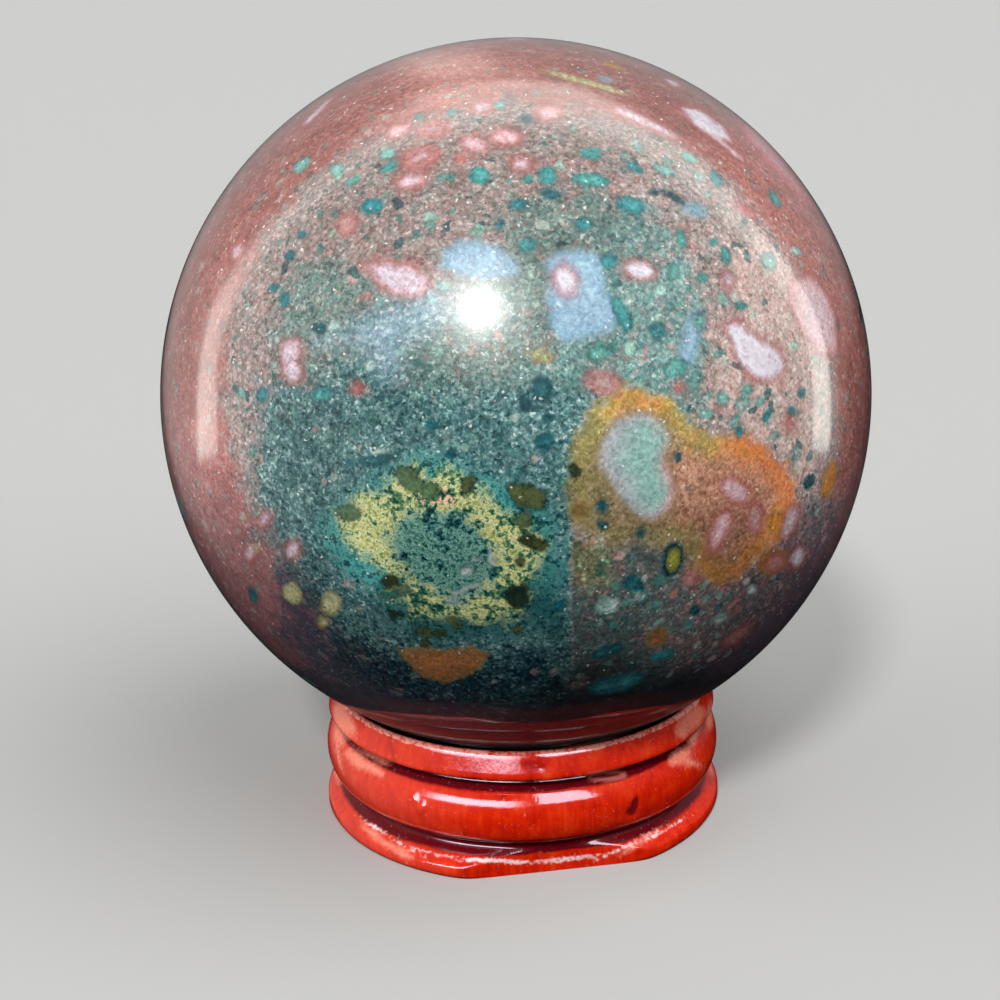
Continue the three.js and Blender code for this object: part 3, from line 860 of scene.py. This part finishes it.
    # placed clasts: a halo of spread millimetres round each, a skin inside the edge and a heart colour
    kinds = {
        "blue": {
            "ramp": ((0.0, (102, 140, 154)), (0.4, (120, 160, 180)), (0.7, (128, 168, 192)),
                     (1.0, (142, 192, 216))),
            "halo": (120, 128, 128), "spread": 0.6, "strength": 0.3, "heart": (164, 190, 212), "cover": 0.8,
            "edge": 0.45, "grain": 0.35, "skin": (118, 154, 172),
        },
        "orange": {
            "ramp": ((0.0, (100, 92, 56)), (0.22, (128, 82, 46)), (0.6, (218, 138, 38)),
                     (0.85, (166, 172, 116)), (1.0, (176, 188, 148))),
            "halo": (140, 112, 58), "spread": 0.3, "strength": 0.5, "heart": (170, 96, 60), "cover": 0.8,
            "edge": 0.22, "grain": 0.5, "skin": (120, 98, 56),
        },
        "green": {
            "ramp": ((0.0, (12, 36, 54)), (0.14, (8, 62, 72)), (0.25, (18, 92, 102)),
                     (0.42, (44, 132, 136)), (0.62, (72, 152, 140)), (0.85, (132, 184, 172)),
                     (0.93, (150, 164, 158)), (1.0, (216, 222, 216))),
            "halo": (50, 78, 80), "spread": 0.3, "strength": 0.45, "heart": (76, 152, 148), "cover": 0.94,
            "edge": 0.18, "grain": 0.5, "skin": (26, 78, 82),
        },
        "eye": {
            "ramp": ((0.0, (8, 30, 28)), (0.2, (50, 52, 26)), (0.45, (84, 92, 54)), (0.65, (78, 114, 78)),
                     (0.8, (158, 152, 54)), (1.0, (26, 92, 94))),
            "halo": (18, 34, 24), "spread": 0.26, "strength": 0.75, "heart": (62, 76, 44), "cover": 0.94,
            "edge": 0.14, "grain": 0.5, "skin": (44, 60, 40),
        },
        "pale": {
            "ramp": ((0.0, (232, 230, 240)), (0.1, (192, 190, 202)), (0.22, (186, 176, 186)),
                     (0.45, (206, 160, 160)), (0.62, (156, 122, 114)), (0.72, (164, 110, 104)),
                     (0.85, (144, 88, 82)), (0.93, (198, 92, 94)), (1.0, (176, 82, 62))),
            "halo": (156, 82, 78), "spread": 0.9, "strength": 0.6, "heart": (206, 192, 202), "cover": 0.9,
            "edge": 0.3, "grain": 0.45, "skin": (186, 124, 124),
        },
    }
    drift = wander * 0.35
    for kind, look in kinds.items():
        edge = s.attribute(kind + "Edge") + drift
        tone = s.attribute(kind + "Tone") + (fleck - 0.5) * 0.25 + (blotch - 0.5) * 0.3
        own = s.ramp(tone, *look["ramp"])
        own = s.mix(edge.step(-0.1, -1.1) * 0.4, own, look["heart"])
        own = s.mix(edge.step(-0.5, -0.05) * 0.45, own, look["skin"])
        own = s.mix(look["grain"], own, light, "OVERLAY")
        halo = (edge + (sand[3] - 0.5) * 0.2 + (blotch - 0.5)).step(look["spread"], -0.1)
        shade = s.mix(halo * look["strength"], shade, look["halo"])
        shade = s.mix(edge.step(look["edge"], -look["edge"]) * look["cover"], shade, own)

    # the cell in the patch: grey lavender, with a mint streak and a pink edge at the right
    cellEdge = s.attribute("cellEdge") + drift
    mint = (s.attribute("mintEdge") + wander * 1.3).step(1.6, -0.9)
    cellShade = s.mix(cellEdge.step(-1.6, -0.2) * 0.25, (160, 174, 178), (190, 160, 160))
    cellShade = s.mix(mint * 0.8, cellShade, (132, 184, 172))
    pink = (s.attribute("pinkEdge") + wander).step(0.9, -0.8)
    cellShade = s.mix(pink * 0.8, cellShade, (204, 142, 136))
    shade = s.mix(cellEdge.step(0.5, 0.1) * cellEdge.step(-0.3, 0) * 0.5, shade, (128, 112, 70))
    shade = s.mix(cellEdge.step(0.4, -0.6) * 0.93, shade, s.mix(0.35, cellShade, light, "OVERLAY"))

    # rare white and red grains
    white = sand[0].step(0.6, 0.3) * sand[3].step(0.986, 0.99)
    red = sand[0].step(0.7, 0.4) * sand[3].step(0.01, 0.006)
    shade = s.mix(white * keep * 0.7, shade, (228, 228, 220))
    shade = s.mix(red * warm * 0.5, shade, (170, 84, 66))

    # under the stone the base is dull, so that only the coat mirrors the stand, and its colour is darkened
    # there as painted shade
    under = height.step(21, 16)

    s.feed(
        Base_Color=s.mix(under * 0.5, shade, (6, 16, 26)),
        Roughness=under * 0.6 + 0.27,
        IOR=1.5,
        Specular_IOR_Level=0.6,
        Coat_Weight=1 - under * 0.65,
        Coat_Roughness=0.04,
        Coat_IOR=1.5,
        Normal=s.bump(s.noise(0.16, detail=1, place=s.moved(5, 5, 0)), 0.018, 0.8),
    )
    return s.owner


# Stand

standSettings = {
    "hole": 11.5,
    "seatContact": 14.2,
    "seatGap": 0.15,
    "flangeEdge": 1.0,
    "flangeTop": 2.4,
    "grooveRadius": 17.2,
    "beadBottom": 3.1,
    "beadTop": 8.9,
    "beadRadius": 19.1,
    "bandBottom": 10.1,
    "bandBottomRadius": 18.8,
    "bandTopRadius": 18.1,
    "rimInner": 17.5,
    "edgeRound": 0.3,
    "flatDistance": 17.25,
    "flatAzimuth": -80.5,
    "flatSoftness": 0.22,
    "around": 700,
    "along": 132,
    "waver": 0.12,
    "seed": 11,
    "markSoft": {"worn": 0.7},  # how soft a mark's edge is, in millimetres
    "otherSoft": 0.25,
    "wearAndSheenTurns": (140, 235),  # the pale marks again, turned by these degrees
    "push": {"drop": 0.18, "gouge": -0.3, "chip": -0.08, "run": -0.05},
}

# Places on the stand in the picture, in millimetres as the camera sees them. The pale marks are worn
# lacquer in part and a painted reflection in part; the white lines along the foot are lacquer worn
# away in part and a painted highlight in part. drop a run that dried as a bead, gouge a dent and
# chip a scrape.
standMarks = {
    "worn": [
        mark(357, 760, 3.0, 1.3, turn=-38), mark(372, 768, 2.6, 1.0, turn=-30),
        mark(680, 757, 2.6, 1.4, turn=30), mark(690, 762, 2.2, 0.8, turn=-20),
        mark(376, 836, 3.6, 0.7, turn=-38), mark(396, 849, 3.6, 0.7, turn=-28),
        mark(640, 842, 4.4, 0.5, turn=32), mark(690, 722, 3.6, 1.8, turn=48),
        mark(340, 728, 2.4, 0.8, turn=-50),
    ],
    "bare": [
        mark(392, 838, 5.4, 0.14, turn=-32), mark(438, 855, 5.0, 0.18, turn=-13),
        mark(500, 861, 6.5, 0.34, turn=-3), mark(565, 859, 6.5, 0.36, turn=6),
        mark(625, 847, 5.5, 0.2, turn=25), mark(666, 829, 3.6, 0.14, turn=30),
    ],
    "drop": [mark(421, 808, 1.0, 0.9), mark(414, 799, 0.5, 1.2, turn=20)],
    "gouge": [mark(636, 806, 0.7, 1.7, turn=-15), mark(632, 813, 0.9, 0.8)],
    "chip": [mark(607, 776, 3.2, 0.6, turn=3)],
    "run": [mark(391, 747, 0.35, 3.0, turn=12), mark(535, 766, 2.2, 0.7, turn=-8)],
}


def arcPoints(r, z, radiusR, radiusZ, start, end, steps):
    angle = np.radians(np.linspace(start, end, steps + 1))
    return np.column_stack([r + radiusR * np.cos(angle), z + radiusZ * np.sin(angle)])


def standProfile():
    # the half-section: foot, groove, bead, groove, band, rim, seat and hole, as radius and height
    t = standSettings
    top, foot, edge = standHigh[2], standHigh[0], t["edgeRound"]
    contactDepth = math.sqrt(sphereRadius**2 - t["seatContact"] ** 2)
    slope = t["seatContact"] / contactDepth
    seat = [(r, sphereCentre[2] - contactDepth - t["seatGap"] + (r - t["seatContact"]) * slope)
            for r in (t["rimInner"], t["seatContact"], t["hole"])]
    beadMiddle = (t["beadBottom"] + t["beadTop"]) / 2
    return np.concatenate([
        [(t["hole"], 0.0)],
        arcPoints(foot - edge, edge, edge, edge, -90, 0, 4),
        arcPoints(foot - edge, t["flangeEdge"], edge, edge, 0, 55, 3),
        [(t["grooveRadius"] + edge, t["flangeTop"]),
         (t["grooveRadius"], (t["flangeTop"] + t["beadBottom"]) / 2)],
        arcPoints(t["grooveRadius"], beadMiddle, t["beadRadius"] - t["grooveRadius"],
                  (t["beadTop"] - t["beadBottom"]) / 2, -78, 78, 40),
        [(t["grooveRadius"], t["beadTop"] + edge), (t["grooveRadius"] + edge, t["bandBottom"] - edge)],
        arcPoints(t["bandBottomRadius"] - edge, t["bandBottom"], edge, edge, -75, 17, 5),
        arcPoints(t["bandTopRadius"] - edge, top - edge, edge, edge, 17, 100, 6),
        seat,
        [(t["hole"], 0.0)],
    ])


def makeStand():
    # a point is (radius cos angle, radius sin angle, height), with radius and height from the profile
    # at even steps along it, plus a waver that is a sum of slow cosines of the angle and the height
    t = standSettings
    draw = np.random.default_rng(t["seed"])
    corners = standProfile()
    length = np.concatenate([[0], np.cumsum(np.hypot(*np.diff(corners, axis=0).T))])
    steps = np.linspace(0, length[-1], t["along"] + 1)[:-1]
    radius = np.interp(steps, length, corners[:, 0])
    height = np.interp(steps, length, corners[:, 1])
    angle = np.arange(t["around"]) * 2 * math.pi / t["around"]
    across, up = np.meshgrid(angle, np.arange(t["along"]), indexing="ij")
    r, z = radius[up], height[up]
    turns = draw.integers(1, 9, size=14)
    rises = draw.normal(size=14) * 0.6
    phases = draw.uniform(0, 2 * math.pi, size=14)
    waver = sum(np.cos(n * across + k * z + p) for n, k, p in zip(turns, rises, phases)) / 14
    outside = smoothStep(r, t["seatContact"], t["rimInner"]) * smoothStep(z, 0.1, 0.8)
    r = r + waver * t["waver"] * outside
    x, y = r * np.cos(across), r * np.sin(across)
    # the flat on the foot: what lies beyond it is drawn back onto it, by the soft form of max(beyond, 0)
    toFlat = math.radians(t["flatAzimuth"])
    beyond = x * math.cos(toFlat) + y * math.sin(toFlat) - t["flatDistance"]
    cut = np.logaddexp(0, beyond / t["flatSoftness"]) * t["flatSoftness"] * (z < t["flangeTop"] + 0.1)
    x, y = x - cut * math.cos(toFlat), y - cut * math.sin(toFlat)
    points = np.stack([x, y, np.maximum(z, 0)], axis=-1).reshape(-1, 3)
    # marks: pushed in or out where they change the form, and an attribute for each kind
    weights = {kind: standWeight(points, kind) for kind in standMarks}
    for degrees in t["wearAndSheenTurns"]:
        turned = points @ np.array(Matrix.Rotation(math.radians(degrees), 3, "Z"))
        weights["worn"] = np.maximum(weights["worn"], standWeight(turned, "worn"))
    push = sum(weights[kind] * depth for kind, depth in t["push"].items())
    sideways = points * (1, 1, 0) / np.linalg.norm(points[:, :2], axis=1, keepdims=True)
    points = points + sideways * push[:, None]
    stand, vertices = gridMesh("ringStand", points.reshape(t["around"], t["along"], 3), None)
    for kind in ("worn", "bare", "gouge", "chip", "run"):
        giveAttribute(stand, kind, weights[kind])
    return stand


def standWeight(points, kind):
    # 1 inside a mark and 0 outside, for the points that face the camera
    x, y = inPicture(points)
    scale = (points - eye) @ lookForward / focalPixels
    facing = smoothStep(-points[:, 1], 1, 4) * (np.hypot(points[:, 0], points[:, 1]) > 16)
    soft = standSettings["markSoft"].get(kind, standSettings["otherSoft"])
    weight = np.zeros(len(points))
    for one in standMarks[kind]:
        turn = math.radians(one["turn"])
        across, up = (x - one["x"]) * scale, (one["y"] - y) * scale
        along = across * math.cos(turn) + up * math.sin(turn)
        aside = up * math.cos(turn) - across * math.sin(turn)
        edge = ellipseEdge(along, aside, one["long"], one["wide"])
        weight = np.maximum(weight, smoothStep(edge, soft, -soft))
    return weight * facing


def lacquerMaterial():
    s = Shader(bpy.data.materials.new("red lacquer on turned wood"))
    cloud = s.noise(2.4, detail=4, roughness=0.6)
    fine = s.noise(0.35, detail=2, place=s.moved(2, 0, 2))
    # fine upright streaks: noise that is squeezed along the height
    upright = s.vector("MULTIPLY", s.place, (1, 1, 0.12))
    streak = s.noise(0.45, detail=3, place=upright)
    depth = cloud * 0.7 + streak * 0.4 - 0.05
    shade = s.ramp(depth, (0.25, (168, 14, 2)), (0.5, (204, 34, 6)), (0.7, (218, 58, 16)),
                   (0.85, (226, 88, 42)))
    shade = s.mix(s.attribute("run") * 0.8, shade, (150, 4, 2))
    # the grooves are dark as painted shade and pooled lacquer, and the seat under the stone as painted
    # shade, by height and radius in millimetres
    split = s.node("ShaderNodeSeparateXYZ", {}, {0: s.vector("SCALE", s.place, Scale=1 / mm)}).socket.node
    height = Wire(s, split.outputs[2]) + (cloud - 0.5) * 0.5
    radius = s.vector("LENGTH", s.vector("MULTIPLY", s.place, (1 / mm, 1 / mm, 0)), output="Value")
    seat = radius.step(17.75, 17.5) * height.step(9.0, 9.4)
    upper = height.step(8.35, 8.6) * height.step(10.08, 9.92)
    lower = height.step(1.8, 2.1) * height.step(4.2, 3.7)
    # the left side is lightened, as a painted reflection
    shade = s.mix(Wire(s, split.outputs[0]).step(-3, -16) * 0.22, shade, (216, 106, 88))
    shade = s.mix((upper + lower) * 0.88 * (1 - seat) + seat * 0.88, shade, (58, 0, 18))
    # pale patches: worn lacquer in part, painted reflection in part
    worn = (s.attribute("worn") * 1.3 + (cloud - 0.5) * 1.2 + (fine - 0.5) * 0.9).step(0.2, 1.3)
    shade = s.mix(worn * 0.62, shade, (240, 150, 124))
    # pale lines round the rim, and along the edges of the band, the bead and the foot: worn lacquer in
    # part, painted highlights in part
    edgeWearAndHighlight = height.step(11.85, 12.1) * radius.step(17.5, 17.7)
    for at, wide, much in ((1.68, 0.22, 1.3), (8.32, 0.14, 0.6), (10.1, 0.14, 0.6)):
        edgeWearAndHighlight = edgeWearAndHighlight + (height - at).maths("ABSOLUTE").step(wide, wide * 0.3) * much * (1 - seat)
    lipWearAndHighlight = (edgeWearAndHighlight + (fine - 0.5) * 1.6 + (cloud - 0.5) * 1.2).step(0.6, 1.15)
    shade = s.mix(lipWearAndHighlight * 0.65, shade, (244, 176, 160))
    # white lines along the foot: lacquer worn away in part, painted highlight in part
    bare = (s.attribute("bare") * 1.2 + (fine - 0.5) * 1.6).step(0.2, 1.1)
    shade = s.mix(bare * 0.8, shade, (250, 222, 222))
    shade = s.mix(s.attribute("gouge").step(0.4, 0.9) * 0.8, shade, (70, 10, 20))
    shade = s.mix(s.attribute("chip") * (1 - s.attribute("chip")) * 2.4, shade, (206, 110, 100))
    s.feed(
        Base_Color=shade,
        Roughness=0.09 + worn * 0.2,
        IOR=1.5,
        Specular_IOR_Level=0.34,
        Normal=s.bump(streak * 0.5 + fine * 0.3, 0.05, 0.35),
    )
    return s.owner


# Floor and lights

floorSettings = {"radii": (20.0, 200.0, 12000.0), "around": 64, "shade": (176, 176, 174)}

lightSettings = {
    "lamps": {
        "key": {"azimuth": -14.0, "elevation": 42.0, "angle": 9.0, "strength": 2.1},
        "fill": {"azimuth": 54.0, "elevation": 52.0, "angle": 60.0, "strength": 2.3},
        "left": {"azimuth": -78.0, "elevation": 14.0, "angle": 60.0, "strength": 2.1},
    },
    "world": {
        "leftRise": 0.6,
        "front": ((0.4, (12, 13, 15)), (0.52, (94, 96, 100)), (0.62, (136, 139, 143)),
                  (0.95, (150, 150, 150))),
        "behind": ((0.44, (20, 20, 22)), (0.5, (120, 121, 123)), (0.6, (156, 156, 157)),
                   (0.95, (150, 150, 150))),
    },
}

# A ribbon of soft light arches behind the stone. Its path is where the stone shows it in the picture:
# x, y, width in picture pixels, how much of the half width its soft inner and outer edges take, and glow.
archSettings = {
    "distance": 140.0,
    "shade": (255, 253, 246),
    "most": 2.8,
    "strength": 3.6,
    "alongSteps": 200,
    "acrossSteps": 13,
    "endFade": 14.0,
    "path": [
        (207, 464, 24, 0.5, 0.5, 2.2), (207, 430, 24, 0.4, 0.4, 2.3), (207, 400, 24, 0.4, 0.4, 2.2),
        (208, 370, 23, 0.45, 0.45, 2.1), (211, 345, 23, 0.5, 0.5, 2.0), (218, 318, 24, 0.6, 0.6, 1.9),
        (227, 297, 26, 0.7, 0.7, 2.0), (238, 279, 27, 0.8, 0.8, 1.8), (249, 261, 28, 0.9, 0.9, 1.6),
        (262, 244, 30, 1, 1, 1.4), (277, 226, 32, 1, 1, 1.3), (294, 210, 34, 1, 1, 1.2),
        (314, 193, 38, 1, 1, 1.1), (335, 174, 47, 1, 1, 1.0), (360, 154, 56, 1, 1, 0.9),
        (391, 136, 63, 1, 1, 1.1), (431, 121, 68, 1, 0.3, 1.3), (475, 111, 66, 1, 0.3, 1.5),
        (520, 108, 64, 1, 0.3, 1.7), (565, 112, 62, 1, 0.3, 1.9), (599, 122, 56, 1, 0.3, 2.0),
        (633, 135, 50, 0.9, 0.3, 1.9), (669, 151, 44, 0.8, 0.8, 1.8), (703, 181, 36, 0.7, 0.7, 1.8),
        (728, 207, 29, 0.6, 0.6, 1.9), (749, 230, 24, 0.5, 0.5, 1.9), (766, 251, 22, 0.45, 0.45, 1.9),
        (779, 271, 22, 0.4, 0.4, 1.9), (792, 289, 22, 0.4, 0.4, 2.0), (802, 306, 22, 0.35, 0.35, 2.1),
        (810, 325, 21, 0.3, 0.3, 2.2), (816, 345, 20, 0.3, 0.3, 2.4), (820, 366, 20, 0.3, 0.3, 2.6),
        (822, 392, 20, 0.3, 0.3, 2.7), (822, 426, 20, 0.3, 0.3, 2.7), (820, 458, 19, 0.4, 0.4, 2.6),
    ],
}


def makeFloor():
    # a flat disc about the stand
    angle = np.arange(floorSettings["around"]) * 2 * math.pi / floorSettings["around"]
    ring = np.stack([np.cos(angle), np.sin(angle), np.zeros(len(angle))], axis=-1)
    points = np.stack([ring * radius for radius in floorSettings["radii"]])
    index = np.arange(points.size // 3).reshape(points.shape[:2])
    closed = np.concatenate([index, index[:, :1]], axis=1)
    floor = makePiece("floor", points.reshape(-1, 3), [index[0].tolist(), *quadsOf(closed.T)])
    s = Shader(bpy.data.materials.new("plain pale floor"))
    s.feed(Base_Color=colour(floorSettings["shade"]), Roughness=0.8)
    floor.data.materials.append(s.owner)
    # the floor stays out of reflections and gives no light back, so that the stone's lower half is deep
    floor.visible_glossy = False
    floor.visible_diffuse = False


def makeLights():
    # the lamps give the shading; what the pieces mirror of them are the sheets of light below
    for name, look in lightSettings["lamps"].items():
        data = bpy.data.lights.new(name, "SUN")
        data.energy = look["strength"]
        data.angle = math.radians(look["angle"])
        lamp = bpy.data.objects.new(name, data)
        bpy.context.scene.collection.objects.link(lamp)
        lamp.rotation_euler = (math.radians(90 - look["elevation"]), 0, math.radians(look["azimuth"]))
        lamp.visible_glossy = False
    # the room: dark below and bright above, with a lower horizon at the left, and brighter behind
    room = lightSettings["world"]
    s = Shader(bpy.data.worlds.new("studio"), "Background", "Generated")
    split = s.node("ShaderNodeSeparateXYZ", {}, {0: s.place}).socket.node
    right, back, up = (Wire(s, split.outputs[i]) for i in range(3))
    height = (up + right.step(-0.2, -0.9) * room["leftRise"]) * 0.5 + 0.5
    front, behind = s.ramp(height, *room["front"]), s.ramp(height, *room["behind"])
    s.feed(Color=s.mix(back.step(0.3, 0.9), front, behind))
    bpy.context.scene.world = s.owner


# Round lights that the stone mirrors: the sun's glint, and a bright patch above the top. The glow falls
# with the distance r from the middle: core exp(-(r / width)^2) plus halo exp(-r / width), as glow and
# width.
roundSettings = {
    "glint": {"distance": 150.0, "place": (480, 308), "reach": (78.0, 78.0),
              "core": (26.0, 18.0), "halo": (8.0, 30.0), "shade": (255, 254, 250)},
    "top": {"distance": 150.0, "place": (456, 68), "reach": (92.0, 28.0),
            "core": (1.1, 42.0), "halo": (0.0, 1.0), "shade": (255, 244, 234)},
}

# Windows that only the stand mirrors, as ranges of azimuth and elevation in degrees.
windowSettings = {
    "distance": 300.0,
    "shade": (244, 236, 255),
    "strength": 30.0,
    "steps": 24,
    "panes": [
        {"azimuth": (8, 40), "elevation": (17, 66), "soft": 0.12, "glow": 0.8},
        {"azimuth": (-60, 4), "elevation": (10, 33), "soft": 0.5, "glow": 1.0},
    ],
}


def mirroredFrom(x, y, distance):
    # what the stone mirrors at picture places: from there along the mirrored line of sight
    sight, normal = lineOfSight(x, y), onSphere(x, y)
    bounced = sight - 2 * (sight * normal).sum(axis=1, keepdims=True) * normal
    return sphereCentre + normal * sphereRadius + bounced * distance


def makeSheet(name, places, glow, shade, strength, onlyFor):
    # a sheet of light from a grid of points, which one piece mirrors and nothing else shows
    rows, columns = glow.shape
    index = np.arange(rows * columns).reshape(rows, columns)
    sheet = makePiece(name, places.reshape(-1, 3), quadsOf(index.T))
    giveAttribute(sheet, "glow", glow.ravel())
    s = Shader(bpy.data.materials.new(name))
    s.feed(
        Base_Color=(0, 0, 0, 1),
        Specular_IOR_Level=0,
        Emission_Color=colour(shade),
        Emission_Strength=strength,
        Alpha=s.attribute("glow"),
    )
    sheet.data.materials.append(s.owner)
    sheet.visible_camera = False
    sheet.visible_diffuse = False
    sheet.visible_shadow = False
    receivers = bpy.data.collections.new(name + " receivers")
    receivers.objects.link(onlyFor)
    sheet.light_linking.receiver_collection = receivers
    print(name, "made, its lowest point", round(float(places[..., 2].min()), 1), "mm above the floor")


def makeArch():
    t = archSettings
    corners = np.array(t["path"], float)
    length = np.concatenate([[0], np.cumsum(np.hypot(*np.diff(corners[:, :2], axis=0).T))])
    steps = np.linspace(0, length[-1], t["alongSteps"])
    x, y, wide, inner, outer, glow = (np.interp(steps, length, column)[:, None] for column in corners.T)
    slopeX, slopeY = np.gradient(x[:, 0])[:, None], np.gradient(y[:, 0])[:, None]
    sideways = np.linspace(-0.5, 0.5, t["acrossSteps"]) * wide / np.hypot(slopeX, slopeY)
    places = mirroredFrom((x - slopeY * sideways).ravel(), (y + slopeX * sideways).ravel(), t["distance"])
    side = np.linspace(-1, 1, t["acrossSteps"])
    soft = np.where(side < 0, outer, inner)
    fade = np.minimum(steps, length[-1] - steps)[:, None] / t["endFade"]
    glow = glow / t["most"] * smoothStep((1 - abs(side)) / soft, 0, 1) * smoothStep(fade, 0, 1)
    makeSheet("arch", places, glow, t["shade"], t["strength"], sphere)


def makeRoundLights():
    angle = np.linspace(0, 2 * math.pi, 60)
    share = np.linspace(0, 1, 40)[:, None] ** 1.5
    for name, t in roundSettings.items():
        x = t["place"][0] + share * t["reach"][0] * np.cos(angle)
        y = t["place"][1] + share * t["reach"][1] * np.sin(angle)
        r = share * t["reach"][0]
        most = t["core"][0] + t["halo"][0]
        glow = t["core"][0] * np.exp(-(r / t["core"][1]) ** 2) + t["halo"][0] * np.exp(-r / t["halo"][1])
        glow = glow / most * smoothStep(share, 1, 0.5) * np.ones(len(angle))
        makeSheet(name, mirroredFrom(x.ravel(), y.ravel(), t["distance"]), glow, t["shade"], most, sphere)


def makeWindows():
    # a point is the distance times (sin azimuth cos elevation, -cos azimuth cos elevation, sin elevation)
    t = windowSettings
    share = np.linspace(0, 1, t["steps"])
    edge = 1 - np.abs(2 * share - 1)
    for i, pane in enumerate(t["panes"]):
        ranges = (pane["azimuth"], pane["elevation"])
        angles = [np.radians(low + share * (high - low)) for low, high in ranges]
        azimuth, elevation = np.meshgrid(*angles, indexing="ij")
        level = np.cos(elevation)
        sight = np.stack([np.sin(azimuth) * level, -np.cos(azimuth) * level, np.sin(elevation)], axis=-1)
        soft = smoothStep(edge, 0, pane["soft"])
        glow = pane["glow"] * soft[:, None] * soft
        makeSheet("window" + str(i), sight * t["distance"], glow, t["shade"], t["strength"], stand)


makeCamera()
print("camera made")
sphere = makeSphere()
sphere.data.materials.append(jasperMaterial())
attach(sphere, "root")
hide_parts("jasper_sphere")
print("sphere made:", len(sphere.data.vertices), "vertices")
stand = makeStand()
stand.data.materials.append(lacquerMaterial())
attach(stand, "root")
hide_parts("ring_stand")
print("stand made:", len(stand.data.vertices), "vertices")
makeFloor()
makeLights()
makeArch()
makeRoundLights()
makeWindows()
bpy.context.scene.view_settings.view_transform = "Standard"
print("floor and lights made")
